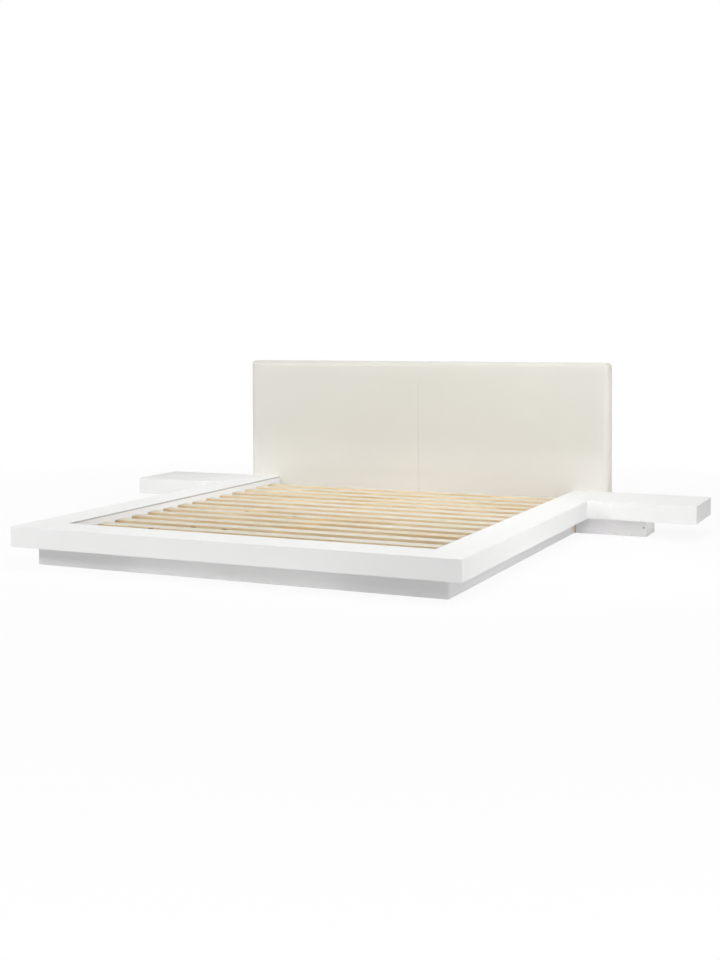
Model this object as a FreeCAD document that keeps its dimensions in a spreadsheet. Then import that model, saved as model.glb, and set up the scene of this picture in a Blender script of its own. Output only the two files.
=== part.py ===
# Low platform double bed: a wide hollow ledge on a set-back base, a slatted floor for the
# mattress, a bedside table joined to each side, and an upholstered headboard.
# Millimetres. +X runs from the left table to the right one, +Y from the foot to the head,
# +Z up. The origin is on the floor, in the middle of the whole bed.

import FreeCAD, Part
import Sketcher
import os

doc = FreeCAD.newDocument("double_bed")
sheet = doc.addObject("Spreadsheet::Sheet", "sheet")

driving_sizes = {
    # the mattress that the bed holds, and the room left at each side of it
    "mattress_width": 1800,
    "mattress_length": 2000,
    "mattress_play": 5,
    # the hollow ledge of boards round the mattress
    "rail_width": 182,
    "rail_height": 91,
    "rail_board": 18,
    "arris_radius": 1.5,
    "strip_height": 7,
    "strip_thickness": 2,
    # the set-back base under the ledge
    "base_height": 88,
    "base_board": 25,
    "base_front_inset": 85,
    "base_side_inset": 89,
    # the bedside tables and the low supports under them
    "table_width": 553,
    "table_depth": 385,
    "support_end_inset": 268,
    "support_depth": 186,
    "support_inset": 79,
    "support_panel": 6.5,
    "support_screw_level": 46,
    # the slats and what carries them
    "slat_width": 65,
    "slat_thickness": 18,
    "slat_drop": 32,
    "slat_margin": 80,
    "slat_end_gap": 3,
    "slat_radius": 2,
    "ledger_width": 30,
    "ledger_height": 30,
    "beam_width": 60,
    "beam_height": 40,
    "leg_side": 50,
    "leg_end_space": 120,
    "glide_radius": 18,
    "glide_thickness": 3,
    "tape_width": 25,
    "tape_thickness": 1,
    # the steel angles in the inner corners
    "angle_flange": 40,
    "angle_thickness": 3,
    "angle_height": 30,
    "angle_space": 5,
    # the headboard
    "headboard_height": 868,
    "headboard_thickness": 81,
    "headboard_overhang": 8,
    "headboard_lift": 60,
    "foam_front": 20,
    "foam_side": 10,
    "foam_radius": 18,
    "foam_back_radius": 6,
    "seam_width": 4,
    "seam_depth": 2,
    "panel_thickness": 12,
    "post_width": 45,
    "crosspiece_height": 70,
    "cloth_thickness": 1,
    "cloth_margin": 8,
    # the bolts that hold the headboard
    "bolt_radius": 4,
    "bolt_head_radius": 7.5,
    "bolt_head_height": 5.3,
    "bolt_grip": 36,
    # the capped screws of the table supports
    "cap_radius": 5,
    "cap_height": 2,
    "cap_stand": 0.5,
    "screw_radius": 2.5,
    "screw_length": 50,
    # the screws of the steel angles
    "small_head_radius": 4,
    "small_head_height": 2,
    "small_screw_radius": 2,
    "small_screw_length": 16,
    # room round every fastener, and how far a cut runs past the face it opens
    "hole_clearance": 0.3,
    "cut_overrun": 2,
}
slat_count = 14
leg_count = 3

# Shares of half the recess's width: where the tapes and the headboard bolts lie
tape_share = 0.5
bolt_shares = (-0.75, -0.3, 0.3, 0.75)

for row, (alias, size) in enumerate(driving_sizes.items(), 1):
    sheet.set(f"A{row}", alias.replace("_", " "))
    sheet.set(f"B{row}", str(size))
    sheet.setAlias(f"B{row}", alias)
doc.recompute()

# Distances from the middle of the bed to each side
inner_half = "(sheet.mattress_width / 2 + sheet.mattress_play)"
outer_half = f"({inner_half} + sheet.rail_width)"
ledge_half = f"({outer_half} - sheet.rail_board)"
base_half = f"({outer_half} - sheet.base_side_inset)"
table_half = f"({outer_half} + sheet.table_width)"
support_half = f"({table_half} - sheet.support_end_inset)"
headboard_half = f"({outer_half} + sheet.headboard_overhang)"

# Places along the bed, from the foot rail's front face to the back of the headboard
recess_length = "(sheet.mattress_length + 2 * sheet.mattress_play)"
bed_depth = f"(sheet.rail_width + {recess_length} + sheet.headboard_thickness)"
foot_front = f"(-{bed_depth} / 2)"
foot_back = f"({foot_front} + sheet.rail_width)"
head_end = f"({foot_back} + {recess_length})"
cross_rail_front = f"({head_end} - sheet.rail_board)"
bed_back = f"({head_end} + sheet.headboard_thickness)"
base_front = f"({foot_front} + sheet.base_front_inset)"
table_front = f"({head_end} - sheet.table_depth)"
support_front = f"({table_front} + sheet.support_inset)"
support_back = f"({support_front} + sheet.support_depth)"

# Heights above the floor
rail_top = "(sheet.base_height + sheet.rail_height)"
top_underside = f"({rail_top} - sheet.rail_board)"
bottom_upside = "(sheet.base_height + sheet.rail_board)"
slat_underside = f"({rail_top} - sheet.slat_drop - sheet.slat_thickness)"
beam_underside = f"({slat_underside} - sheet.beam_height)"

# Directions, and the two sides of the bed with the sign of their X
along_y = (0, 1, 0)
against_y = (0, -1, 0)
sides = {"left": -1, "right": 1}
outward = {"left": (-1, 0, 0), "right": (1, 0, 0)}

# A point lies on a face when it is nearer to it than this
same_place = 0.001

pieces = []


def value(expression):
    """The number that an expression of the sheet's sizes gives."""
    return float(sheet.evalExpression(expression))


def put(piece, place):
    """Tie a piece's place to three expressions."""
    for axis, distance in zip("xyz", place):
        piece.setExpression("Placement.Base." + axis, distance)


def keep(name, piece):
    """Name a finished piece after its file."""
    piece.Label = name
    pieces.append(piece)


def side_x(side, inner, width):
    """The low X of a piece that lies from inner outward on one side of the bed."""
    return inner if side == "right" else f"(-({inner} + {width}))"


def shifted(place, direction, distance):
    """A place moved by a distance along one axis."""
    forms = {0: "{0}", 1: "({0} + {1})", -1: "({0} - {1})"}
    return tuple(forms[step].format(start, distance) for start, step in zip(place, direction))


def block(name, size, place):
    """A plain rectangular piece, by its three sizes and its low corner."""
    piece = doc.addObject("Part::Box", name)
    for length, expression in zip(("Length", "Width", "Height"), size):
        piece.setExpression(length, expression)
    put(piece, place)
    return piece


def turned(piece, length, place, direction):
    """Give a round or hexagonal piece its length, its start and its direction."""
    piece.setExpression("Height", length)
    turn = FreeCAD.Rotation(FreeCAD.Vector(0, 0, 1), FreeCAD.Vector(*direction))
    piece.Placement = FreeCAD.Placement(FreeCAD.Vector(0, 0, 0), turn)
    put(piece, place)
    return piece


def rod(name, radius, length, place, direction):
    """A round bar."""
    piece = doc.addObject("Part::Cylinder", name)
    piece.setExpression("Radius", radius)
    return turned(piece, length, place, direction)


def joined(name, members):
    """One solid of parts that touch."""
    piece = doc.addObject("Part::MultiFuse", name)
    piece.Shapes = members
    return piece


def group(name, members):
    """Like solids that share one file."""
    piece = doc.addObject("Part::Compound", name)
    piece.Links = members
    return piece


def cut(name, board, tools):
    """A board with the space of other shapes taken out."""
    piece = doc.addObject("Part::Cut", name)
    piece.Base = board
    piece.Tool = tools
    return piece


def screw(name, head, shank, seat, direction):
    """A screw, by the radius and length of its head and of its shank, and its head's seat."""
    back = tuple(-step for step in direction)
    return joined(name, [
        rod(name + "_head", *head, seat, back),
        rod(name + "_shank", *shank, seat, direction),
    ])


def edges_between(shape, pairs):
    """The names of the straight edges where pairs of a rectangular piece's faces meet."""
    box = shape.BoundBox
    faces = {
        "left": ("x", box.XMin),
        "right": ("x", box.XMax),
        "front": ("y", box.YMin),
        "back": ("y", box.YMax),
        "bottom": ("z", box.ZMin),
        "top": ("z", box.ZMax),
    }
    names = []
    for pair in pairs:
        places = [faces[face] for face in pair]
        for number, edge in enumerate(shape.Edges, 1):
            middle = edge.CenterOfMass
            if all(abs(getattr(middle, axis) - limit) < same_place for axis, limit in places):
                names.append(f"Edge{number}")
    return names


def blank(body, size):
    """The rectangular blank that a body starts from, with a corner at the body's origin."""
    base = body.newObject("PartDesign::AdditiveBox", body.Name + "_blank")
    for length, expression in zip(("Length", "Width", "Height"), size):
        base.setExpression(length, expression)
    doc.recompute()
    return base


def round_edges(body, pairs, radius):
    """Round the edges between pairs of a body's faces."""
    feature = body.newObject("PartDesign::Fillet", body.Name + "_round")
    base = feature.BaseFeature
    feature.Base = (base, edges_between(base.Shape, pairs))
    feature.setExpression("Radius", radius)
    doc.recompute()


def rounded_board(name, size, place, pairs, radius="sheet.arris_radius"):
    """A board with the arrises between pairs of its faces rounded."""
    body = doc.addObject("PartDesign::Body", name)
    blank(body, size)
    round_edges(body, pairs, radius)
    put(body, place)
    return body


def hold(sketch, corner, kind, distance, axis):
    """Hold a corner of an outline at a distance from the sketch's origin, or on its axis."""
    if distance == 0:
        sketch.addConstraint(Sketcher.Constraint("PointOnObject", corner, 1, axis))
        return
    constraint = Sketcher.Constraint(kind, -1, 1, corner, 1, value(distance))
    index = sketch.addConstraint(constraint)
    sketch.setExpression(f"Constraints[{index}]", distance)


def outline(body, role, corners):
    """A sketch on a body's origin plane: straight lines through corners, in pairs.

    Each number of a pair is zero or an expression that gives more than zero.
    """
    sketch = body.newObject("Sketcher::SketchObject", body.Name + "_outline")
    planes = {feature.Role: feature for feature in body.Origin.OriginFeatures}
    sketch.AttachmentSupport = [(planes[role], "")]
    sketch.MapMode = "FlatFace"
    points = [FreeCAD.Vector(across and value(across), up and value(up), 0) for across, up in corners]
    for start, end in zip(points, points[1:] + points[:1]):
        sketch.addGeometry(Part.LineSegment(start, end), False)
    for number in range(len(points)):
        after = (number + 1) % len(points)
        sketch.addConstraint(Sketcher.Constraint("Coincident", number, 2, after, 1))
    for number, (across, up) in enumerate(corners):
        hold(sketch, number, "DistanceX", across, -2)
        hold(sketch, number, "DistanceY", up, -1)
    return sketch


# Steel angles in the four inner corners, under the slats. Their screws go into the inner
# boards of the rails and into the head cross rail.
angle_low = f"({slat_underside} - sheet.ledger_height)"
angle_level = f"({angle_low} + sheet.angle_height / 2)"
angle_reach = "((sheet.angle_flange + sheet.angle_thickness) / 2)"
small_hole = ("(sheet.small_screw_radius + sheet.hole_clearance)",
              "(sheet.small_screw_length + sheet.hole_clearance)")
small_head = ("sheet.small_head_radius", "sheet.small_head_height")
small_shank = ("sheet.small_screw_radius", "sheet.small_screw_length")
angles = []
angle_screws = []
angle_holes = []
for side, sign in sides.items():
    ends = {"foot": (foot_back, "+", against_y), "head": (cross_rail_front, "-", along_y)}
    for end, (wall, inward, toward_wall) in ends.items():
        corner = f"{side}_{end}"
        near_wall = f"({wall} - sheet.angle_flange)" if end == "head" else wall
        thin_near_wall = f"({wall} - sheet.angle_thickness)" if end == "head" else wall
        side_flange = block(
            corner + "_angle_side_flange",
            ("sheet.angle_thickness", "sheet.angle_flange", "sheet.angle_height"),
            (side_x(side, f"({inner_half} - sheet.angle_thickness)", "sheet.angle_thickness"),
             near_wall, angle_low),
        )
        end_flange = block(
            corner + "_angle_end_flange",
            ("sheet.angle_flange", "sheet.angle_thickness", "sheet.angle_height"),
            (side_x(side, f"({inner_half} - sheet.angle_flange)", "sheet.angle_flange"),
             thin_near_wall, angle_low),
        )
        side_seat = (
            f"({sign} * ({inner_half} - sheet.angle_thickness))",
            f"({wall} {inward} {angle_reach})",
            angle_level,
        )
        end_seat = (
            f"({sign} * ({inner_half} - {angle_reach}))",
            f"({wall} {inward} sheet.angle_thickness)",
            angle_level,
        )
        drills = []
        for part, seat, direction in (
            ("side", side_seat, outward[side]),
            ("end", end_seat, toward_wall),
        ):
            name = f"{corner}_angle_{part}"
            drills.append(rod(name + "_drill", *small_hole, seat, direction))
            angle_screws.append(screw(name + "_screw", small_head, small_shank, seat, direction))
        angle_holes.extend(drills)
        angles.append(cut(
            corner + "_angle",
            joined(corner + "_angle_blank", [side_flange, end_flange]),
            group(corner + "_angle_drills", drills),
        ))
keep("corner_angles", group("angles", angles))
keep("angle_screws", group("angle_screw_set", angle_screws))
angle_drills = group("angle_drills", angle_holes)

# Foot rail: a front board over the full width, with a top, an inner and a bottom board
# behind it that close the hollow section
rail_upright = f"({top_underside} - {bottom_upside})"
behind_front = f"({foot_front} + sheet.rail_board)"
front_arrises = (
    ("front", "top"), ("front", "bottom"), ("left", "front"), ("right", "front"),
    ("left", "top"), ("right", "top"), ("left", "bottom"), ("right", "bottom"),
)
keep("foot_rail_front", rounded_board(
    "foot_front_board",
    (f"2 * {outer_half}", "sheet.rail_board", "sheet.rail_height"),
    (f"-{outer_half}", foot_front, "sheet.base_height"),
    front_arrises,
))
foot_panel = (f"2 * {ledge_half}", "(sheet.rail_width - sheet.rail_board)", "sheet.rail_board")
keep("foot_rail_top", block(
    "foot_top_board", foot_panel, (f"-{ledge_half}", behind_front, top_underside)))
keep("foot_rail_bottom", block(
    "foot_bottom_board", foot_panel, (f"-{ledge_half}", behind_front, "sheet.base_height")))
foot_inner_half = f"({inner_half} + sheet.rail_board)"
keep("foot_rail_inner", cut(
    "foot_inner_board",
    block(
        "foot_inner_blank",
        (f"2 * {foot_inner_half}", "sheet.rail_board", rail_upright),
        (f"-{foot_inner_half}", f"({foot_back} - sheet.rail_board)", bottom_upside),
    ),
    angle_drills,
))

# Side rails: the outer board runs past the foot rail's end up to its front board; the top
# board has a rebate along its inner edge for a narrow edge strip
strips = []
for side in sides:
    keep(f"{side}_rail_outer", rounded_board(
        f"{side}_outer_board",
        ("sheet.rail_board", f"({head_end} - {behind_front})", "sheet.rail_height"),
        (side_x(side, ledge_half, "sheet.rail_board"), behind_front, "sheet.base_height"),
        ((side, "top"), (side, "bottom")),
    ))
    panel_width = "(sheet.rail_width - sheet.rail_board)"
    panel_x = side_x(side, inner_half, panel_width)
    strip_x = side_x(side, inner_half, "sheet.strip_thickness")
    strip_z = f"({rail_top} - sheet.strip_height)"
    rebate_x = side_x(side, f"({inner_half} - sheet.cut_overrun)",
                      "(sheet.strip_thickness + sheet.cut_overrun)")
    keep(f"{side}_rail_top", cut(
        f"{side}_top_board",
        block(
            f"{side}_top_blank",
            (panel_width, recess_length, "sheet.rail_board"),
            (panel_x, foot_back, top_underside),
        ),
        block(
            f"{side}_top_rebate",
            ("(sheet.strip_thickness + sheet.cut_overrun)", f"({recess_length} + 2 * sheet.cut_overrun)",
             "(sheet.strip_height + sheet.cut_overrun)"),
            (rebate_x, f"({foot_back} - sheet.cut_overrun)", strip_z),
        ),
    ))
    strips.append(block(
        f"{side}_strip",
        ("sheet.strip_thickness", recess_length, "sheet.strip_height"),
        (strip_x, foot_back, strip_z),
    ))
    keep(f"{side}_rail_bottom", block(
        f"{side}_bottom_board",
        (panel_width, recess_length, "sheet.rail_board"),
        (panel_x, foot_back, "sheet.base_height"),
    ))
    keep(f"{side}_rail_inner", cut(
        f"{side}_inner_board",
        block(
            f"{side}_inner_blank",
            ("sheet.rail_board", recess_length, rail_upright),
            (side_x(side, inner_half, "sheet.rail_board"), foot_back, bottom_upside),
        ),
        angle_drills,
    ))
keep("rail_edge_strips", group("edge_strips", strips))

# Bedside tables: hollow boxes as high as the rails, fixed to their outer boards
table_backs = []
table_bottoms = []
for side in sides:
    inside_width = "(sheet.table_width - sheet.rail_board)"
    inside_x = side_x(side, outer_half, inside_width)
    inside_y = f"({table_front} + sheet.rail_board)"
    back_y = f"({head_end} - sheet.rail_board)"
    inside_panel = (inside_width, f"({back_y} - {inside_y})", "sheet.rail_board")
    keep(f"{side}_table_front", rounded_board(
        f"{side}_table_front_board",
        ("sheet.table_width", "sheet.rail_board", "sheet.rail_height"),
        (side_x(side, outer_half, "sheet.table_width"), table_front, "sheet.base_height"),
        (("front", "top"), ("front", "bottom"), (side, "front"), (side, "top"), (side, "bottom")),
    ))
    keep(f"{side}_table_end", rounded_board(
        f"{side}_table_end_board",
        ("sheet.rail_board", f"({head_end} - {inside_y})", "sheet.rail_height"),
        (side_x(side, f"({table_half} - sheet.rail_board)", "sheet.rail_board"), inside_y,
         "sheet.base_height"),
        ((side, "top"), (side, "bottom"), (side, "back")),
    ))
    keep(f"{side}_table_top", block(
        f"{side}_table_top_board", inside_panel, (inside_x, inside_y, top_underside)))
    table_bottoms.append(block(
        f"{side}_table_bottom_board", inside_panel, (inside_x, inside_y, "sheet.base_height")))
    table_backs.append(block(
        f"{side}_table_back_board",
        (inside_width, "sheet.rail_board", "sheet.rail_height"),
        (inside_x, back_y, "sheet.base_height"),
    ))
keep("table_bottoms", group("table_bottom_boards", table_bottoms))
keep("table_backs", group("table_back_boards", table_backs))

# Base: four upright boards on the floor, set back under the rails
behind_base_front = f"({base_front} + sheet.base_board)"
keep("base_front", rounded_board(
    "base_front_board",
    (f"2 * {base_half}", "sheet.base_board", "sheet.base_height"),
    (f"-{base_half}", base_front, "0"),
    (("left", "front"), ("right", "front")),
))
for side in sides:
    keep(f"base_{side}", block(
        f"base_{side}_board",
        ("sheet.base_board", f"({head_end} - {behind_base_front})", "sheet.base_height"),
        (side_x(side, f"({base_half} - sheet.base_board)", "sheet.base_board"),
         behind_base_front, "0"),
    ))
base_inside_half = f"({base_half} - sheet.base_board)"
keep("base_back", block(
    "base_back_board",
    (f"2 * {base_inside_half}", "sheet.base_board", "sheet.base_height"),
    (f"-{base_inside_half}", f"({head_end} - sheet.base_board)", "0"),
))

# Table supports: three boards and a thin raw panel that stands against the base. Capped
# screws hold the front and back boards to the end board.
seat_depth = "(sheet.cap_height - sheet.cap_stand)"
support_inner = f"({base_half} + sheet.support_panel)"
support_width = f"({support_half} - {support_inner})"
support_screws = []
support_backs = []
support_panels = []
for side, sign in sides.items():
    screw_x = f"({sign} * ({support_half} - sheet.base_board / 2))"
    drills = []
    for end, face, direction in (("front", support_front, along_y), ("back", support_back, against_y)):
        name = f"{side}_support_{end}"
        seat = shifted((screw_x, face, "sheet.support_screw_level"), direction, seat_depth)
        drills.append(rod(
            name + "_drill", "(sheet.screw_radius + sheet.hole_clearance)",
            "(sheet.screw_length + sheet.hole_clearance)", seat, direction))
        drills.append(rod(
            name + "_cap_seat", "(sheet.cap_radius + sheet.hole_clearance)",
            "sheet.cap_height", seat, tuple(-step for step in direction)))
        support_screws.append(screw(
            name + "_screw", ("sheet.cap_radius", "sheet.cap_height"),
            ("sheet.screw_radius", "sheet.screw_length"), seat, direction))
    support_drills = group(f"{side}_support_drills", drills)
    face_board = (support_width, "sheet.base_board", "sheet.base_height")
    face_x = side_x(side, support_inner, support_width)
    keep(f"{side}_support_front", cut(
        f"{side}_support_front_board",
        rounded_board(
            f"{side}_support_front_blank",
            face_board,
            (face_x, support_front, "0"),
            ((side, "front"),),
        ),
        support_drills,
    ))
    keep(f"{side}_support_end", cut(
        f"{side}_support_end_board",
        block(
            f"{side}_support_end_blank",
            ("sheet.base_board", "(sheet.support_depth - 2 * sheet.base_board)", "sheet.base_height"),
            (side_x(side, f"({support_half} - sheet.base_board)", "sheet.base_board"),
             f"({support_front} + sheet.base_board)", "0"),
        ),
        support_drills,
    ))
    support_backs.append(cut(
        f"{side}_support_back_board",
        block(
            f"{side}_support_back_blank",
            face_board,
            (face_x, f"({support_back} - sheet.base_board)", "0"),
        ),
        support_drills,
    ))
    support_panels.append(block(
        f"{side}_support_panel_board",
        ("sheet.support_panel", "sheet.support_depth", "sheet.base_height"),
        (side_x(side, base_half, "sheet.support_panel"), support_front, "0"),
    ))
keep("support_backs", group("support_back_boards", support_backs))
keep("support_inner_panels", group("support_panel_boards", support_panels))
keep("support_screws", group("support_screw_set", support_screws))

# Slat floor: side ledgers on the inner boards, a middle beam on legs, and a cross rail at
# the head; the slats lie on all of them, held at their spacing by two tapes underneath
ledger_start = "(sheet.angle_flange + sheet.angle_space)"
keep("slat_ledgers", group("ledgers", [
    block(
        f"{side}_ledger",
        ("sheet.ledger_width", f"({cross_rail_front} - {foot_back} - 2 * {ledger_start})",
         "sheet.ledger_height"),
        (side_x(side, f"({inner_half} - sheet.ledger_width)", "sheet.ledger_width"),
         f"({foot_back} + {ledger_start})", angle_low),
    )
    for side in sides
]))
keep("centre_beam", block(
    "beam",
    ("sheet.beam_width", f"({cross_rail_front} - {foot_back})", "sheet.beam_height"),
    ("-sheet.beam_width / 2", foot_back, beam_underside),
))
leg_pitch = (f"(({cross_rail_front} - {foot_back} - 2 * sheet.leg_end_space - sheet.leg_side)"
             f" / {leg_count - 1})")
leg_starts = [
    f"({foot_back} + sheet.leg_end_space + {number} * {leg_pitch})" for number in range(leg_count)
]
keep("centre_legs", group("legs", [
    block(
        f"leg_{number}",
        ("sheet.leg_side", "sheet.leg_side", f"({beam_underside} - sheet.glide_thickness)"),
        ("-sheet.leg_side / 2", start, "sheet.glide_thickness"),
    )
    for number, start in enumerate(leg_starts, 1)
]))
keep("leg_glides", group("glides", [
    rod(f"glide_{number}", "sheet.glide_radius", "sheet.glide_thickness",
        ("0", f"({start} + sheet.leg_side / 2)", "0"), (0, 0, 1))
    for number, start in enumerate(leg_starts, 1)
]))
slat_pitch = (f"(({recess_length} - 2 * sheet.slat_margin - sheet.slat_width)"
              f" / {slat_count - 1})")
slat_half = f"({inner_half} - sheet.slat_end_gap)"
long_arrises = (("front", "top"), ("back", "top"), ("front", "bottom"), ("back", "bottom"))
for number in range(slat_count):
    keep(f"slat_{number + 1:02d}", rounded_board(
        f"slat_board_{number + 1}",
        (f"2 * {slat_half}", "sheet.slat_width", "sheet.slat_thickness"),
        (f"-{slat_half}", f"({foot_back} + sheet.slat_margin + {number} * {slat_pitch})",
         slat_underside),
        long_arrises,
        "sheet.slat_radius",
    ))
keep("slat_tapes", group("tapes", [
    block(
        f"{side}_tape",
        ("sheet.tape_width", f"({recess_length} - 2 * sheet.slat_margin)", "sheet.tape_thickness"),
        (f"({sign * tape_share} * {inner_half} - sheet.tape_width / 2)",
         f"({foot_back} + sheet.slat_margin)", f"({slat_underside} - sheet.tape_thickness)"),
    )
    for side, sign in sides.items()
]))

# Headboard bolts: through the head cross rail, the padding and the panel into the lower
# crosspieces
bolt_level = f"((sheet.base_height + {slat_underside}) / 2)"
bolt_length = "(sheet.rail_board + sheet.foam_front + sheet.panel_thickness + sheet.bolt_grip)"
bolts = []
bolt_holes = []
for number, share in enumerate(bolt_shares, 1):
    seat = (f"({share} * {inner_half})", cross_rail_front, bolt_level)
    head = doc.addObject("Part::Prism", f"bolt_{number}_head")
    head.Polygon = 6
    head.setExpression("Circumradius", "sheet.bolt_head_radius")
    turned(head, "sheet.bolt_head_height", seat, against_y)
    shank = rod(f"bolt_{number}_shank", "sheet.bolt_radius", bolt_length, seat, along_y)
    bolts.append(joined(f"bolt_{number}", [head, shank]))
    bolt_holes.append(rod(
        f"bolt_{number}_drill", "(sheet.bolt_radius + sheet.hole_clearance)",
        f"({bolt_length} + sheet.hole_clearance)", seat, along_y))
keep("headboard_bolts", group("bolts", bolts))
bolt_drills = group("bolt_drills", bolt_holes)
keep("head_cross_rail", cut(
    "cross_rail",
    block(
        "cross_rail_blank",
        (f"2 * {inner_half}", "sheet.rail_board", f"({slat_underside} - sheet.base_height)"),
        (f"-{inner_half}", cross_rail_front, "sheet.base_height"),
    ),
    group("cross_rail_drills", [bolt_drills, angle_drills]),
))

# Headboard padding: a soft slab with rounded edges and a sewn seam down its middle, open at
# its back and underside, where the panel and the posts stand in it
pad_depth = "(sheet.headboard_thickness - sheet.cloth_thickness)"
pad_height = "(sheet.headboard_height - sheet.headboard_lift)"
frame_half = f"({headboard_half} - sheet.foam_side)"
frame_top = "(sheet.headboard_height - sheet.foam_side)"
panel_front = f"({head_end} + sheet.foam_front)"
post_front = f"({panel_front} + sheet.panel_thickness)"
cloth_front = f"({bed_back} - sheet.cloth_thickness)"
post_depth = f"({cloth_front} - {post_front})"
pad = doc.addObject("PartDesign::Body", "pad")
slab = blank(pad, (f"2 * {headboard_half}", pad_depth, pad_height))
hollow = pad.newObject("PartDesign::SubtractiveBox", "pad_hollow")
hollow.setExpression("Length", f"2 * {frame_half}")
hollow.setExpression("Width", f"({pad_depth} - sheet.foam_front + sheet.cut_overrun)")
hollow.setExpression("Height", f"({pad_height} - sheet.foam_side + sheet.cut_overrun)")
put(hollow, ("sheet.foam_side", "sheet.foam_front", "-sheet.cut_overrun"))
doc.recompute()
round_edges(pad, (
    ("front", "top"), ("front", "left"), ("front", "right"), ("front", "bottom"),
    ("left", "top"), ("right", "top"),
), "sheet.foam_radius")
round_edges(pad, (("back", "top"), ("back", "left"), ("back", "right")), "sheet.foam_back_radius")
unseamed_volume = pad.Shape.Volume
seam = pad.newObject("PartDesign::Pocket", "pad_seam")
seam.Profile = outline(pad, "XY_Plane", (
    (f"({headboard_half} - sheet.seam_width / 2)", 0),
    (f"({headboard_half} + sheet.seam_width / 2)", 0),
    (headboard_half, "sheet.seam_depth"),
))
seam.Type = "ThroughAll"
seam.Reversed = True
put(pad, (f"-{headboard_half}", head_end, "sheet.headboard_lift"))
doc.recompute()
if not pad.Shape.Volume < unseamed_volume:
    raise ValueError("the seam cuts nothing")
keep("headboard_pad", cut("padding", pad, bolt_drills))

# Headboard frame inside the padding: a front panel, three posts that stand on the floor, and
# crosspieces between the posts at the top and at the bottom
keep("headboard_panel", cut(
    "panel",
    block(
        "panel_blank",
        (f"2 * {frame_half}", "sheet.panel_thickness", f"({frame_top} - sheet.headboard_lift)"),
        (f"-{frame_half}", panel_front, "sheet.headboard_lift"),
    ),
    bolt_drills,
))
post_places = (f"(-{frame_half})", "(-sheet.post_width / 2)", f"({frame_half} - sheet.post_width)")
keep("headboard_posts", group("posts", [
    block(f"post_{number}", ("sheet.post_width", post_depth, frame_top), (place, post_front, "0"))
    for number, place in enumerate(post_places, 1)
]))
crosspiece_length = f"({frame_half} - 3 * sheet.post_width / 2)"
crosspieces = []
for level, low in (
    ("lower", "sheet.headboard_lift"),
    ("upper", f"({frame_top} - sheet.crosspiece_height)"),
):
    for side in sides:
        crosspieces.append(block(
            f"{level}_{side}_crosspiece",
            (crosspiece_length, post_depth, "sheet.crosspiece_height"),
            (side_x(side, "sheet.post_width / 2", crosspiece_length), post_front, low),
        ))
keep("headboard_crosspieces", cut("crosspieces", group("crosspiece_set", crosspieces), bolt_drills))
keep("headboard_back_cloth", block(
    "back_cloth",
    (f"2 * ({headboard_half} - sheet.cloth_margin)", "sheet.cloth_thickness",
     f"({pad_height} - 2 * sheet.cloth_margin)"),
    (f"(sheet.cloth_margin - {headboard_half})", cloth_front,
     "(sheet.headboard_lift + sheet.cloth_margin)"),
))

doc.recompute()
for item in doc.Objects:
    if "Invalid" in item.State or "Error" in item.State:
        raise ValueError(f"{item.Name}: {item.State}")
for piece in pieces:
    if piece.Shape.isNull() or not piece.Shape.isValid() or not piece.Shape.Solids:
        raise ValueError(f"{piece.Label} has no valid shape")

os.makedirs("parts", exist_ok=True)
for piece in pieces:
    piece.Shape.exportStep(f"parts/{piece.Label}.step")
print(len(pieces), "pieces written")
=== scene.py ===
import math

import bmesh
import bpy
from mathutils import Matrix, Vector, noise


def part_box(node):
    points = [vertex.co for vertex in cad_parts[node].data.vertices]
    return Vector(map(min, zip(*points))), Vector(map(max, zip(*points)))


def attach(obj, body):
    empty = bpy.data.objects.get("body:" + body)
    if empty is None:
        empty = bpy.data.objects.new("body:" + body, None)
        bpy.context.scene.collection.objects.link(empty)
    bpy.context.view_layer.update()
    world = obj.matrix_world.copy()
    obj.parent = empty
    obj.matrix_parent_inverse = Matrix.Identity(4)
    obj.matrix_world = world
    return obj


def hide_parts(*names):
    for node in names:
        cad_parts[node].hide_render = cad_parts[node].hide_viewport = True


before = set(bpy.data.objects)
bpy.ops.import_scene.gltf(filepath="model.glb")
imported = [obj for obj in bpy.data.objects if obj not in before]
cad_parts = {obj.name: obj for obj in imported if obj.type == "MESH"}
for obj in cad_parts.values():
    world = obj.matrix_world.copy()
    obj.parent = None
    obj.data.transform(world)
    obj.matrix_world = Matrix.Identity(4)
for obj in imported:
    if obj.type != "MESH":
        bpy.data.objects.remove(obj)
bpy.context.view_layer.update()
front_low, front_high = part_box("foot_rail_front")

# The picture is taken from the foot end, to the right of the bed and a little over a metre up,
# almost level, looking towards the left of the headboard. Its upright edges stay nearly
# parallel, so the picture is framed by shifting it down, and a little to the left. The eye is
# measured from the middle of the foot rail's front edge.
picture_height = 960
focal_length = 1314.0
shift_left = 33.3
shift_down = 112.8
sensor_width = 36
eye_right = 2.8695
eye_back = 4.7047
eye_height = 1.0832
yaw = 0.4140
pitch = 0.0325
roll = -0.0039

camera = bpy.data.objects.new("camera", bpy.data.cameras.new("camera"))
camera.data.sensor_width = sensor_width
camera.data.lens = focal_length / picture_height * sensor_width
camera.data.shift_x = -shift_left / picture_height
camera.data.shift_y = -shift_down / picture_height
camera.data.clip_end = 200
eye = Matrix.Translation((eye_right, front_low.y - eye_back, eye_height))
turn_about = Matrix.Rotation(yaw, 4, "Z")
tilt = Matrix.Rotation(math.pi / 2 - pitch, 4, "X")
lean = Matrix.Rotation(roll, 4, "Z")
camera.matrix_world = eye @ (turn_about @ tilt @ lean)
bpy.context.scene.collection.objects.link(camera)
bpy.context.scene.camera = camera


# BASE
# Four upright boards of white-lacquered fibreboard, glued and screwed into a frame that stands
# on the floor, set back under the rails so that the bed seems to float. The front board has a
# greyer copy of the lacquer: painted shade, for the shade under the rails. Their lower edges are
# a little soiled.

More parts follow.
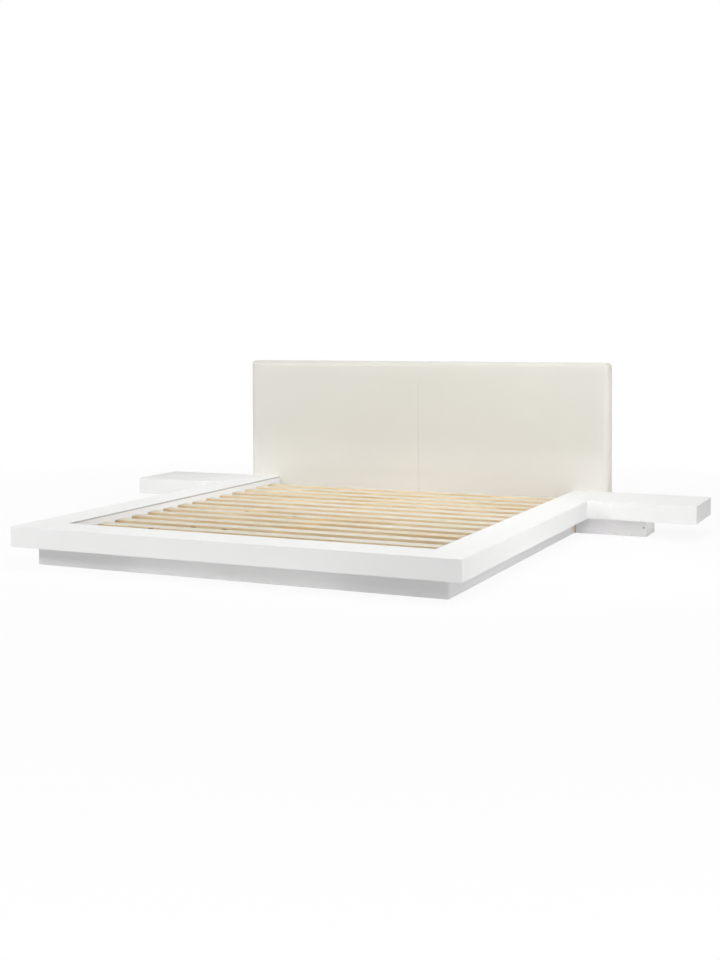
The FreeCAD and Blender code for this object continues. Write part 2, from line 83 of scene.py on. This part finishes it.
def node(material, kind, inputs=None, **settings):
    """A shader node: settings are its own, and an input that is a socket gets linked."""
    made = material.node_tree.nodes.new("ShaderNode" + kind)
    for name, setting in settings.items():
        setattr(made, name, setting)
    for name, source in (inputs or {}).items():
        if isinstance(source, bpy.types.NodeSocket):
            material.node_tree.links.new(source, made.inputs[name])
        else:
            made.inputs[name].default_value = source
    return made


def new_material(name):
    """A material and its main shader."""
    material = bpy.data.materials.new(name)
    material.use_nodes = True
    return material, material.node_tree.nodes["Principled BSDF"]


def set_shader(material, shader, **inputs):
    """Set or link inputs of the main shader, named with underscores for spaces."""
    for name, source in inputs.items():
        socket = shader.inputs[name.replace("_", " ")]
        if isinstance(source, bpy.types.NodeSocket):
            material.node_tree.links.new(source, socket)
        else:
            socket.default_value = source


def place_of(material, stretch=(1, 1, 1), offset=(0, 0, 0)):
    """The bed's own coordinates in metres, stretched for a grain or a weave."""
    coordinates = node(material, "TexCoord").outputs["Object"]
    return node(material, "Mapping", {
        "Vector": coordinates, "Scale": stretch, "Location": offset,
    }).outputs["Vector"]


def spots(material, place, scale, detail=2.0, roughness=0.5):
    """Soft noise at a scale given in spots per metre."""
    return node(material, "TexNoise", {
        "Vector": place, "Scale": scale, "Detail": detail, "Roughness": roughness,
    }).outputs["Fac"]


def mixed(material, share, first, second):
    """The colour that lies between two colours, by a share from 0 to 1."""
    made = node(material, "Mix", data_type="RGBA")
    sources = {0: share, 6: first, 7: second}
    for number, source in sources.items():
        socket = made.inputs[number]
        if isinstance(source, bpy.types.NodeSocket):
            material.node_tree.links.new(source, socket)
        else:
            socket.default_value = source
    return made.outputs[2]


def spread(material, source, low, high, to_low=0.0, to_high=1.0):
    """Stretch a value's range from low..high to another range, held at its ends."""
    return node(material, "MapRange", {
        "Value": source, "From Min": low, "From Max": high, "To Min": to_low, "To Max": to_high,
    }).outputs["Result"]


def bump(material, height, strength, distance):
    """Relief of a height map, over a distance in metres."""
    return node(material, "Bump", {
        "Height": height, "Strength": strength, "Distance": distance,
    }).outputs["Normal"]


def product(material, first, second):
    """The product of two values."""
    return node(material, "Math", {0: first, 1: second}, operation="MULTIPLY").outputs[0]


def axes_of(material, vector):
    """The three parts of a vector, as outputs named X, Y and Z."""
    return node(material, "SeparateXYZ", {"Vector": vector}).outputs


def darker(colour, share):
    """A share of a colour's light."""
    return tuple(share * part for part in colour[:3]) + (1,)


def finish(material, *names):
    """Give CAD pieces a material."""
    for name in names:
        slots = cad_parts[name].data.materials
        slots.clear()
        slots.append(material)


soil_tone = (0.62, 0.61, 0.60, 1)
soil_share = 0.25
base_soil_height = 0.03


def lacquer(name, colour, shade, soil_height=0.0):
    """Sprayed satin lacquer: faint cloudy shade, orange-peel relief, uneven gloss."""
    material, shader = new_material(name)
    place = place_of(material)
    clouds = spots(material, place, 1.6, 3.0)
    tone = mixed(material, spread(material, clouds, 0.35, 0.65), colour, shade)
    if soil_height:
        height = axes_of(material, place)["Z"]
        scuffs = spots(material, place_of(material, (9, 9, 40)), 1.0, 4.0)
        low = spread(material, height, 0.0, soil_height, 1.0, 0.0)
        soil = product(material, low, scuffs)
        tone = mixed(material, spread(material, soil, 0.2, 1.0, 0.0, soil_share), tone, soil_tone)
    gloss = spread(material, spots(material, place, 34.0, 3.0), 0.3, 0.7, 0.48, 0.58)
    peel = bump(material, spots(material, place, 520.0, 2.0), 0.06, 0.0004)
    set_shader(material, shader, Base_Color=tone, Roughness=gloss, Normal=peel,
               Specular_IOR_Level=0.22)
    return material


base_white = lacquer("base_lacquer", (0.885, 0.885, 0.885, 1), (0.865, 0.865, 0.865, 1),
                     base_soil_height)
finish(base_white, "base_left", "base_right", "base_back")
# The front boards get a greyer copy of the lacquer: painted shade, for the shade under the rails.
painted_shade_front_white = lacquer("base_front_lacquer_painted_shade", (0.85, 0.85, 0.85, 1), (0.83, 0.83, 0.83, 1),
                      base_soil_height)
finish(painted_shade_front_white, "base_front")


# RAILS
# Hollow box sections of the same lacquered board, 182 mm wide and 91 mm high: a top, an outer,
# an inner and a bottom board, glued at butt joints, with the outer arrises eased. A narrow grey
# strip is let into the top inner edge of each side rail; its grey is painted shade, for the
# shadow line under the rail's top edge.

rail_white = lacquer("rail_lacquer", (0.885, 0.885, 0.88, 1), (0.87, 0.87, 0.865, 1))
finish(
    rail_white,
    "foot_rail_front", "foot_rail_top", "left_rail_outer", "left_rail_top",
    "right_rail_outer", "right_rail_top",
)
# The inner boards get a lighter, bluer copy of the lacquer: painted light in the mattress recess.
inner_painted_light_white = lacquer("inner_lacquer_painted_light", (0.90, 0.92, 0.945, 1), (0.885, 0.905, 0.93, 1))
finish(inner_painted_light_white, "foot_rail_inner", "left_rail_inner", "right_rail_inner")
# The bottom boards get a darker copy of the lacquer: painted shade under the rails.
underside_painted_shade = lacquer("underside_painted_shade", (0.80, 0.80, 0.79, 1), (0.77, 0.77, 0.76, 1))
finish(underside_painted_shade, "foot_rail_bottom", "left_rail_bottom", "right_rail_bottom")

# The strip's grey is painted shade: it stands for the shadow line under the rail's top edge.
painted_shadow_strip, painted_shadow_shader = new_material("edge_strip_painted_shadow")
strip_marks = spots(painted_shadow_strip, place_of(painted_shadow_strip, (60, 4, 60)), 1.0, 4.0)
set_shader(
    painted_shadow_strip, painted_shadow_shader,
    Base_Color=mixed(painted_shadow_strip, strip_marks, (0.43, 0.43, 0.44, 1), (0.52, 0.52, 0.53, 1)),
    Roughness=spread(painted_shadow_strip, strip_marks, 0.3, 0.7, 0.45, 0.6),
    Normal=bump(painted_shadow_strip, spots(painted_shadow_strip, place_of(painted_shadow_strip), 900.0), 0.1, 0.0002),
)
finish(painted_shadow_strip, "rail_edge_strips")


# BEDSIDE TABLES
# One at each side of the head end: a hollow box as high as the rails and flush with them,
# lacquered with them, and bolted to the outer board of the side rail.

table_white = lacquer("table_lacquer", (0.885, 0.885, 0.88, 1), (0.87, 0.87, 0.865, 1))
finish(
    table_white,
    "left_table_front", "left_table_end", "left_table_top",
    "right_table_front", "right_table_end", "right_table_top", "table_backs",
)
# The table bottoms take the same darker copy: painted shade under the tables.
finish(underside_painted_shade, "table_bottoms")


# TABLE SUPPORTS
# A low lacquered frame under each table, as high as the base and soiled like it. A thin panel of
# raw fibreboard closes its inner end, and its brown edge shows beside the base. The front and
# back boards are screwed to the end board, and brown caps cover the screws.

# The support fronts get the same greyer copy: painted shade, for the shade under the tables.
finish(painted_shade_front_white, "left_support_front", "right_support_front")
finish(base_white, "left_support_end", "right_support_end", "support_backs")


def fibreboard(name, colour, fleck):
    """Raw fibreboard: short pressed fibres, quite matt."""
    material, shader = new_material(name)
    place = place_of(material)
    fibres = spots(material, place_of(material, (900, 900, 1500)), 1.0, 3.0, 0.7)
    clouds = spots(material, place, 40.0, 2.0)
    tone = mixed(material, spread(material, fibres, 0.35, 0.65), colour, fleck)
    tone = mixed(material, spread(material, clouds, 0.4, 0.8), tone, darker(colour, 0.85))
    set_shader(material, shader, Base_Color=tone, Roughness=0.85,
               Normal=bump(material, fibres, 0.4, 0.0003))
    return material


raw_board = fibreboard("raw_fibreboard", (0.62, 0.42, 0.25, 1), (0.70, 0.49, 0.30, 1))
finish(raw_board, "support_inner_panels")

cap_brown, cap_shader = new_material("brown_cap")
cap_marks = spots(cap_brown, place_of(cap_brown), 700.0, 3.0)
set_shader(
    cap_brown, cap_shader,
    Base_Color=mixed(cap_brown, cap_marks, (0.50, 0.31, 0.16, 1), (0.58, 0.38, 0.21, 1)),
    Roughness=spread(cap_brown, cap_marks, 0.3, 0.7, 0.4, 0.55),
    Normal=bump(cap_brown, cap_marks, 0.1, 0.0002),
)
finish(cap_brown, "support_screws")


# CORNER ANGLES
# Zinc-plated steel angles in the inner corners, under the slats, each with a screw through
# either flange into the inner boards and the head cross rail.

def zinc(name, colour, shade):
    """Zinc-plated steel: cloudy spangle and fine drawn lines."""
    material, shader = new_material(name)
    place = place_of(material)
    spangle = node(material, "TexVoronoi", {"Vector": place, "Scale": 260.0}).outputs["Distance"]
    lines = spots(material, place_of(material, (30, 30, 2400)), 1.0, 2.0)
    tone = mixed(material, spread(material, spangle, 0.1, 0.7), colour, shade)
    set_shader(material, shader, Base_Color=tone, Metallic=1.0,
               Roughness=spread(material, lines, 0.3, 0.7, 0.3, 0.5),
               Normal=bump(material, lines, 0.1, 0.0001))
    return material


zinc_steel = zinc("zinc_plated_steel", (0.66, 0.66, 0.64, 1), (0.56, 0.56, 0.55, 1))
finish(zinc_steel, "corner_angles", "angle_screws")


# LEDGERS, BEAM AND LEGS
# Sawn softwood: a ledger screwed to the inner board of each side rail, a beam down the middle
# on three legs with plastic glides, and a cross rail at the head. The slats lie on them.

board_steps = (3.17, 1.31, 0.71)
edge_fade = (0.85, 0.79, 0.69)
knot_brown = (0.20, 0.11, 0.05, 1)


def sawn_wood(name, seed, length_axis, pale, tan, edge, knot_share=0.0, figure=0.5):
    """Softwood: grain along one axis, broad tan figure, small dark knots; side faces warmer and
    brighter than the tops, partly edge grain and partly painted light.
    """
    material, shader = new_material(name)
    offset = tuple(seed * step for step in board_steps)
    grain_stretch = [85, 85, 85]
    grain_stretch[length_axis] = 3.6
    streak_stretch = [26, 26, 26]
    streak_stretch[length_axis] = 2.4
    fibre_stretch = [14 * part for part in grain_stretch]
    lines = spots(material, place_of(material, grain_stretch, offset), 1.0, 4.0, 0.6)
    streaks = spots(material, place_of(material, streak_stretch, offset), 1.0, 2.0)
    fibres = spots(material, place_of(material, fibre_stretch, offset), 1.0, 2.0)
    broad = spread(material, streaks, 0.42, 0.62)
    fine = spread(material, lines, 0.38, 0.66)
    grain = node(material, "Math", {0: fine, 1: broad}, operation="ADD").outputs[0]
    tone = mixed(material, spread(material, grain, 0.1, 1.5, 0.0, figure), pale, tan)
    # Side faces get a warmer, brighter tone: partly edge grain, partly painted light and bounce.
    facing = axes_of(material, node(material, "NewGeometry").outputs["Normal"])["Z"]
    level = node(material, "Math", {0: facing}, operation="ABSOLUTE").outputs[0]
    dark_edge = tuple(fade * part for fade, part in zip(edge_fade, edge)) + (1,)
    side_tone_grain_and_light = mixed(material, spread(material, grain, 0.5, 1.6), edge, dark_edge)
    tone = mixed(material, spread(material, level, 0.3, 0.8), side_tone_grain_and_light, tone)
    if knot_share:
        knot_stretch = [16, 16, 40]
        knot_stretch[length_axis] = 5.0
        cells = node(material, "TexVoronoi", {
            "Vector": place_of(material, knot_stretch, offset), "Scale": 1.0,
        })
        chosen = axes_of(material, cells.outputs["Color"])["X"]
        chosen = spread(material, chosen, 1.0 - knot_share, 1.0 - knot_share + 0.02)
        core = spread(material, cells.outputs["Distance"], 0.06, 0.11, 0.85, 0.0)
        shown = product(material, core, spread(material, level, 0.3, 0.8, 1.0, 0.5))
        tone = mixed(material, product(material, shown, chosen), tone, knot_brown)
    set_shader(material, shader, Base_Color=tone, Specular_IOR_Level=0.25,
               Roughness=spread(material, lines, 0.3, 0.7, 0.6, 0.8),
               Normal=bump(material, fibres, 0.25, 0.0003))
    return material


across, along, upward = 0, 1, 2
frame_pale = (0.72, 0.58, 0.40, 1)
frame_tan = (0.60, 0.43, 0.26, 1)
frame_side_grain_and_light = (0.64, 0.49, 0.31, 1)
finish(sawn_wood("ledger_wood", 31, along, frame_pale, frame_tan, frame_side_grain_and_light, 0.2),
       "slat_ledgers", "centre_beam")
finish(sawn_wood("leg_wood", 32, upward, frame_pale, frame_tan, frame_side_grain_and_light), "centre_legs")
finish(sawn_wood("cross_rail_wood", 33, across, frame_pale, frame_tan, frame_side_grain_and_light, 0.2),
       "head_cross_rail")

glide_plastic, glide_shader = new_material("glide_plastic")
glide_marks = spots(glide_plastic, place_of(glide_plastic), 300.0, 3.0)
set_shader(
    glide_plastic, glide_shader,
    Base_Color=mixed(glide_plastic, glide_marks, (0.60, 0.60, 0.58, 1), (0.70, 0.70, 0.68, 1)),
    Roughness=spread(glide_plastic, glide_marks, 0.3, 0.7, 0.4, 0.6),
)
finish(glide_plastic, "leg_glides")


# SLATS
# Fourteen planed, unfinished pale softwood boards across the bed, with their long arrises
# eased. Each one has its own grain, and two woven tapes stapled underneath keep the spacing.

slat_names = sorted(
    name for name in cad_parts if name.startswith("slat_") and name[-1].isdigit())
slat_pale = (0.715, 0.688, 0.62, 1)
slat_tan = (0.65, 0.535, 0.355, 1)
slat_side_grain_and_light = (0.81, 0.648, 0.42, 1)
slat_figures = (0.35, 0.25, 0.3, 0.9, 0.6, 0.8, 0.45, 0.3, 0.35, 0.5, 0.55, 0.3, 0.4, 0.35)
for number, (name, figure) in enumerate(zip(slat_names, slat_figures), 1):
    wood = sawn_wood(name + "_wood", number, across, slat_pale, slat_tan, slat_side_grain_and_light, 1.0, figure)
    finish(wood, name)


thread_pitch = 0.0016
waves_per_turn = 3.2


def woven(name, colour, shade, pitch):
    """Plain weave: two crossed sets of threads, at a pitch in metres."""
    material, shader = new_material(name)
    place = place_of(material)
    threads = []
    for direction in ("X", "Z"):
        threads.append(node(material, "TexWave", {
            "Vector": place, "Scale": 1 / pitch / waves_per_turn, "Distortion": 0.6, "Detail": 1.0,
        }, bands_direction=direction).outputs["Fac"])
    weave = product(material, *threads)
    clouds = spots(material, place, 3.0, 3.0)
    slubs = spots(material, place_of(material, (60, 60, 700)), 1.0, 2.0)
    tone = mixed(material, spread(material, clouds, 0.35, 0.65), colour, shade)
    dark = darker(colour, 0.90)
    tone = mixed(material, spread(material, slubs, 0.5, 0.8, 0.0, 0.35), tone, dark)
    tone = mixed(material, spread(material, weave, 0.0, 0.5, 0.25, 0.0), tone, dark)
    set_shader(material, shader, Base_Color=tone, Roughness=0.85, Specular_IOR_Level=0.2,
               Sheen_Weight=0.3, Sheen_Roughness=0.5, Normal=bump(material, weave, 0.35, 0.0002))
    return material


tape_weave = woven("tape_weave", (0.80, 0.77, 0.70, 1), (0.74, 0.71, 0.64, 1), thread_pitch)
finish(tape_weave, "slat_tapes")


# HEADBOARD FRAME
# A plywood panel behind the padding, three softwood posts that stand on the floor, and
# crosspieces between them. Four hexagon bolts hold it to the head cross rail.

finish(sawn_wood("panel_plywood", 41, across, (0.66, 0.52, 0.35, 1), (0.55, 0.40, 0.25, 1),
                 (0.50, 0.37, 0.24, 1), 0.1), "headboard_panel")
finish(sawn_wood("post_wood", 42, upward, frame_pale, frame_tan, frame_side_grain_and_light, 0.15),
       "headboard_posts")
finish(sawn_wood("crosspiece_wood", 43, across, frame_pale, frame_tan, frame_side_grain_and_light, 0.15),
       "headboard_crosspieces")
finish(zinc_steel, "headboard_bolts")


# HEADBOARD PADDING
# Foam under a fine cream leatherette cover, pulled tight over the panel and stapled behind it.
# Its front is sewn with an upright seam at the middle, which fades out under the softly rounded
# top. It puckers a little beside the seam, and its colour turns beige tan towards the rear edge.

pad_low, pad_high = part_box("headboard_pad")
rail_top = front_high.z
rear_tan_start = pad_high.y - 0.034
rear_tan_full = pad_high.y - 0.018
cover_rise = 0.003
cover_side = 0.0015
cover_low = pad_low - Vector((cover_side, 0, 0))
cover_high = pad_high + Vector((cover_side, 0, cover_rise))
front_radius = 0.024
back_radius = 0.006
front_swell = 0.005
swell_reach = 0.07
swell_start = 0.01
swell_rise = 0.08
ripple_depth = 0.0007
seam_place = -0.006
seam_reach = 0.0018
seam_sink = 0.0008
seam_top = cover_high.z - 0.10
seam_fade = 0.06
seam_shade_half = 0.003
seam_shade_fade = 0.05
pucker_places = (-0.181, -0.155, -0.129)
pucker_reach = 0.005
pucker_sink = 0.0011
pucker_level = cover_high.z - 0.043
pucker_half = 0.016
fine_steps = (-0.005, -0.0025, -0.0012, 0.0, 0.0012, 0.0025, 0.005)
columns = 96
rows = 60
foam_front = 0.020
foam_side = 0.010
overrun = 0.05
sharp_angle = math.radians(40)


def leatherette(name, colour, shade, rear_tan):
    """Coated cloth: cloudy tone, pressed grain, soft gloss, painted shade in the seam's fold,
    beige tan towards the rear edge.
    """
    material, shader = new_material(name)
    place = place_of(material)
    clouds = spots(material, place, 2.2, 3.0)
    pores = node(material, "TexVoronoi", {"Vector": place, "Scale": 620.0}).outputs["Distance"]
    tone = mixed(material, spread(material, clouds, 0.35, 0.65), colour, shade)
    tone = mixed(material, spread(material, pores, 0.0, 0.35, 0.5, 0.0), tone, darker(shade, 0.94))
    parts = axes_of(material, place)
    across_bed = node(material, "Math", {0: parts["X"], 1: seam_place}, operation="SUBTRACT")
    from_seam = node(material, "Math", {0: across_bed.outputs[0]}, operation="ABSOLUTE").outputs[0]
    # Painted shade: the colour darkens in a narrow band along the seam's fold.
    seam_painted_shade = spread(material, from_seam, 0.4 * seam_shade_half, seam_shade_half, 0.8, 0.0)
    below = spread(material, parts["Z"], seam_top - seam_shade_fade, seam_top, 1.0, 0.0)
    tone = mixed(material, product(material, seam_painted_shade, below), tone, darker(shade, 0.88))
    # The colour turns beige tan over the last 34 mm before the rear edge.
    rear = spread(material, parts["Y"], rear_tan_start, rear_tan_full, 0.0, 1.0)
    tone = mixed(material, rear, tone, rear_tan)
    set_shader(material, shader, Base_Color=tone, Specular_IOR_Level=0.45,
               Coat_Weight=0.3, Coat_Roughness=0.3,
               Roughness=spread(material, spots(material, place, 90.0, 3.0), 0.3, 0.7, 0.42, 0.5),
               Normal=bump(material, pores, 0.25, 0.0003))
    return material


def round_off(made, edges, radius, segments):
    """Round some edges of a mesh that is being made."""
    bmesh.ops.bevel(made, geom=edges, offset=radius, segments=segments, profile=0.5,
                    affect="EDGES")


def rounded_block(name, low, high, radius, rear_radius, segments, cuts_across, cuts_up,
                  extra_cuts=()):
    """A closed block with round edges, its faces cut into a grid across and up."""
    made = bmesh.new()
    bmesh.ops.create_cube(made, size=1.0)
    size = high - low
    middle = (low + high) / 2
    for vertex in made.verts:
        vertex.co = Vector(part * side for part, side in zip(vertex.co, size)) + middle
    behind = {vertex for vertex in made.verts if vertex.co.y > middle.y}
    front_edges = [edge for edge in made.edges if not set(edge.verts) <= behind]
    round_off(made, front_edges, radius, segments)
    behind = {vertex for vertex in made.verts if abs(vertex.co.y - high.y) < 1e-5}
    rear_edges = [edge for edge in made.edges if set(edge.verts) <= behind]
    round_off(made, rear_edges, rear_radius, 3)
    for axis, count in ((0, cuts_across), (2, cuts_up)):
        normal = Vector((0, 0, 0))
        normal[axis] = 1
        cuts = [low[axis] + size[axis] * number / count for number in range(1, count)]
        for cut in cuts + (list(extra_cuts) if axis == 0 else []):
            bmesh.ops.bisect_plane(made, geom=made.verts[:] + made.edges[:] + made.faces[:],
                                   plane_co=normal * cut, plane_no=normal)
    mesh = bpy.data.meshes.new(name)
    made.to_mesh(mesh)
    made.free()
    piece = bpy.data.objects.new(name, mesh)
    bpy.context.scene.collection.objects.link(piece)
    return piece


def smooth_step(share):
    """A share held to 0..1, with a soft start and end."""
    share = min(max(share, 0.0), 1.0)
    return share * share * (3 - 2 * share)


def cut_away(piece, low, high):
    """Take a rectangular space out of a closed piece."""
    tool = rounded_block(piece.name + "_space", low, high, 0.0005, 0.0004, 1, 1, 1)
    modifier = piece.modifiers.new("space", "BOOLEAN")
    modifier.object = tool
    modifier.solver = "EXACT"
    graph = bpy.context.evaluated_depsgraph_get()
    carved = bpy.data.meshes.new_from_object(piece.evaluated_get(graph))
    piece.modifiers.clear()
    piece.data = carved
    bpy.data.objects.remove(tool)


def ease(distance, reach):
    """A crown's height, from 0 at an edge to 1 at its reach."""
    rest = 1 - min(max(distance / reach, 0.0), 1.0)
    return 1 - rest * rest


fine_cuts = [middle + step for middle in (seam_place, *pucker_places) for step in fine_steps]
headboard = rounded_block("headboard_padding", cover_low, cover_high, front_radius, back_radius, 6,
                          columns, rows, fine_cuts)
for vertex in headboard.data.vertices:
    place = vertex.co
    from_side = cover_high.x - abs(place.x)
    from_top = cover_high.z - place.z
    above_rails = smooth_step((place.z - rail_top - swell_start) / swell_rise)
    frontness = smooth_step((pad_low.y + front_radius - place.y) / front_radius)
    crown = ease(from_side, swell_reach) * ease(from_top, swell_reach) * above_rails
    ripple = ripple_depth * noise.noise(Vector((place.x * 3.1, 0.0, place.z * 4.3))) * crown
    seam = seam_sink * math.exp(-((place.x - seam_place) / seam_reach) ** 2)
    seam *= smooth_step((seam_top + seam_fade / 2 - place.z) / seam_fade)
    puckers = sum(math.exp(-((place.x - middle) / pucker_reach) ** 2) for middle in pucker_places)
    puckers *= pucker_sink * math.exp(-((place.z - pucker_level) / pucker_half) ** 2)
    vertex.co.y -= frontness * (front_swell * crown + ripple - seam - puckers)
cut_away(
    headboard,
    Vector((pad_low.x + foam_side, pad_low.y + foam_front, pad_low.z - overrun)),
    Vector((pad_high.x - foam_side, pad_high.y + overrun, pad_high.z - foam_side)),
)
for face in headboard.data.polygons:
    face.use_smooth = True
headboard.data.set_sharp_from_angle(angle=sharp_angle)
headboard.data.materials.clear()
headboard.data.materials.append(leatherette(
    "cream_leatherette", (0.736, 0.720, 0.664, 1), (0.722, 0.707, 0.649, 1),
    (0.71, 0.57, 0.36, 1)))
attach(headboard, "root")
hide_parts("headboard_pad")


# BACK CLOTH
# A black non-woven dust cloth over the open back of the headboard, pulled flat and stapled
# along its edge.

cloth_low, cloth_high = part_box("headboard_back_cloth")
cloth_slack = 0.0012
slack_reach = 0.1
cloth = rounded_block("back_dust_cloth", cloth_low, cloth_high, 0.0003, 0.0002, 1, 60, 24)
for vertex in cloth.data.vertices:
    place = vertex.co
    to_side = min(place.x - cloth_low.x, cloth_high.x - place.x)
    to_edge = min(to_side, place.z - cloth_low.z, cloth_high.z - place.z)
    slack = cloth_slack * smooth_step(to_edge / slack_reach)
    vertex.co.y += slack * noise.noise(Vector((place.x * 2.3, 4.0, place.z * 3.1)))
for face in cloth.data.polygons:
    face.use_smooth = True
cloth.data.set_sharp_from_angle(angle=sharp_angle)
cloth_black, cloth_shader = new_material("dust_cloth")
cloth_place = place_of(cloth_black)
fibres = spots(cloth_black, cloth_place, 900.0, 3.0, 0.7)
dimples = node(
    cloth_black, "TexVoronoi", {"Vector": cloth_place, "Scale": 420.0}).outputs["Distance"]
set_shader(
    cloth_black, cloth_shader,
    Base_Color=mixed(cloth_black, fibres, (0.035, 0.035, 0.035, 1), (0.075, 0.075, 0.075, 1)),
    Roughness=0.95,
    Normal=bump(cloth_black, dimples, 0.4, 0.0003),
)
cloth.data.materials.clear()
cloth.data.materials.append(cloth_black)
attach(cloth, "root")
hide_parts("headboard_back_cloth")


# STUDIO
# A plain white floor and white surroundings. Big soft lamps hang above and stand at both sides.
# Small weak ones lift the right rail, the right table and its support, the headboard, the foot
# end and the recess. The floor keeps a faint shadow.

def white_for_picture(material_or_world, plain, shown_share):
    """A shader's mix with a second one, still to be linked, for picture, gloss and glass rays."""
    rays = node(material_or_world, "LightPath")
    direct = node(material_or_world, "Math", {
        0: rays.outputs["Is Camera Ray"], 1: rays.outputs["Is Glossy Ray"],
    }, operation="MAXIMUM")
    shown = node(material_or_world, "Math", {
        0: direct.outputs[0], 1: rays.outputs["Is Transmission Ray"],
    }, operation="MAXIMUM")
    share = product(material_or_world, shown.outputs[0], shown_share)
    mix = node(material_or_world, "MixShader", {"Fac": share})
    links = material_or_world.node_tree.links
    links.new(plain, mix.inputs[1])
    return mix


floor_half = 20.0
floor_level = -0.0005
shadow_reach = 1.8
shadow_end = 4.5
shadow_white = 0.90
corners = ((-1, -1), (1, -1), (1, 1), (-1, 1))
floor_mesh = bpy.data.meshes.new("floor")
floor_mesh.from_pydata(
    [(floor_half * right, floor_half * back, floor_level) for right, back in corners],
    [], [(0, 1, 2, 3)])
floor = bpy.data.objects.new("floor", floor_mesh)
bpy.context.scene.collection.objects.link(floor)
floor_paint, floor_shader = new_material("floor_paint")
floor_shader.inputs["Base Color"].default_value = (0.92, 0.92, 0.92, 1)
floor_shader.inputs["Roughness"].default_value = 0.9
floor_shader.inputs["Specular IOR Level"].default_value = 0.0
glow = node(floor_paint, "Emission", {"Color": (1, 1, 1, 1), "Strength": 1.0})
distance = node(floor_paint, "VectorMath", {0: place_of(floor_paint)}, operation="LENGTH")
floor_share = spread(
    floor_paint, distance.outputs["Value"], shadow_reach, shadow_end, shadow_white, 1.0)
floor_mix = white_for_picture(floor_paint, floor_shader.outputs[0], floor_share)
floor_paint.node_tree.links.new(glow.outputs[0], floor_mix.inputs[2])
floor_paint.node_tree.links.new(
    floor_mix.outputs[0], floor_paint.node_tree.nodes["Material Output"].inputs["Surface"])
floor.data.materials.append(floor_paint)

world = bpy.data.worlds.new("studio")
world.use_nodes = True
bpy.context.scene.world = world
surround = world.node_tree.nodes["Background"]
surround.inputs["Color"].default_value = (1, 1, 1, 1)
surround.inputs["Strength"].default_value = 0.40
backdrop = node(world, "Background", {"Color": (1, 1, 1, 1), "Strength": 1.0})
world_mix = white_for_picture(world, surround.outputs[0], 1.0)
world.node_tree.links.new(backdrop.outputs[0], world_mix.inputs[2])
world.node_tree.links.new(
    world_mix.outputs[0], world.node_tree.nodes["World Output"].inputs["Surface"])


def soft_lamp(name, place, target, width, height, power, spread_angle=180):
    """A rectangular lamp that faces a point and isn't seen itself; sizes in metres, power in W."""
    lamp = bpy.data.objects.new(name, bpy.data.lights.new(name, "AREA"))
    lamp.data.shape = "RECTANGLE"
    lamp.data.size = width
    lamp.data.size_y = height
    lamp.data.energy = power
    lamp.data.spread = math.radians(spread_angle)
    lamp.location = place
    lamp.rotation_euler = (Vector(target) - Vector(place)).to_track_quat("-Z", "Y").to_euler()
    lamp.visible_camera = False
    bpy.context.scene.collection.objects.link(lamp)


soft_lamp("top_lamp", (0.0, 0.0, 4.0), (0.0, 0.0, 0.0), 5.0, 5.0, 30)
soft_lamp("left_lamp", (-4.0, -4.5, 3.0), (-0.5, -0.5, 0.3), 2.5, 1.4, 146)
soft_lamp("middle_lamp", (1.5, -0.4, 3.0), (0.6, 0.1, 0.2), 1.2, 1.5, 22)
soft_lamp("high_right_lamp", (2.4, 0.0, 3.0), (0.0, 0.0, 0.3), 1.5, 1.5, 10)
soft_lamp("low_right_lamp", (3.6, -1.1, 0.35), (1.1, 0.2, 0.12), 1.2, 0.6, 7)
soft_lamp("right_rail_lamp", (1.85, -0.4, 0.5), (1.1, 0.1, 0.13), 0.9, 0.3, 0.9)
soft_lamp("rail_side_lamp", (3.8, -0.35, 2.1), (1.09, -0.35, 0.13), 1.8, 0.3, 0.42, 16)
soft_lamp("support_lamp", (1.9, -1.2, 0.015), (1.25, 0.83, -0.012), 0.5, 0.02, 0.055, 2.5)
soft_lamp("table_top_lamp", (1.42, 0.95, 2.2), (1.42, 0.95, 0.18), 0.65, 0.42, 0.055, 14)
soft_lamp("support_end_lamp", (2.2, 0.95, 0.045), (1.5, 0.85, 0.05), 0.4, 0.05, 0.026, 8)
soft_lamp("headboard_lamp", (0.0, -3.2, 1.2), (0.0, 1.05, 0.1), 2.6, 0.1, 0.60, 10)
soft_lamp("headboard_side_lamp", (1.95, 1.0, 0.52), (1.09, 1.06, 0.52), 0.3, 0.66, 0.118, 12)
soft_lamp("foot_lamp", (0.3, -5.5, 0.5), (0.2, -1.1, 0.06), 0.9, 0.3, 0.15, 18)
soft_lamp("base_front_lamp", (0.0, -3.4, 0.02), (0.0, -0.98, 0.015), 1.0, 0.03, 0.020, 4)
soft_lamp("recess_lamp", (2.2, -0.4, 1.5), (-0.95, 0.2, 0.12), 1.6, 0.3, 3.1, 50)

bpy.context.scene.view_settings.view_transform = "Standard"
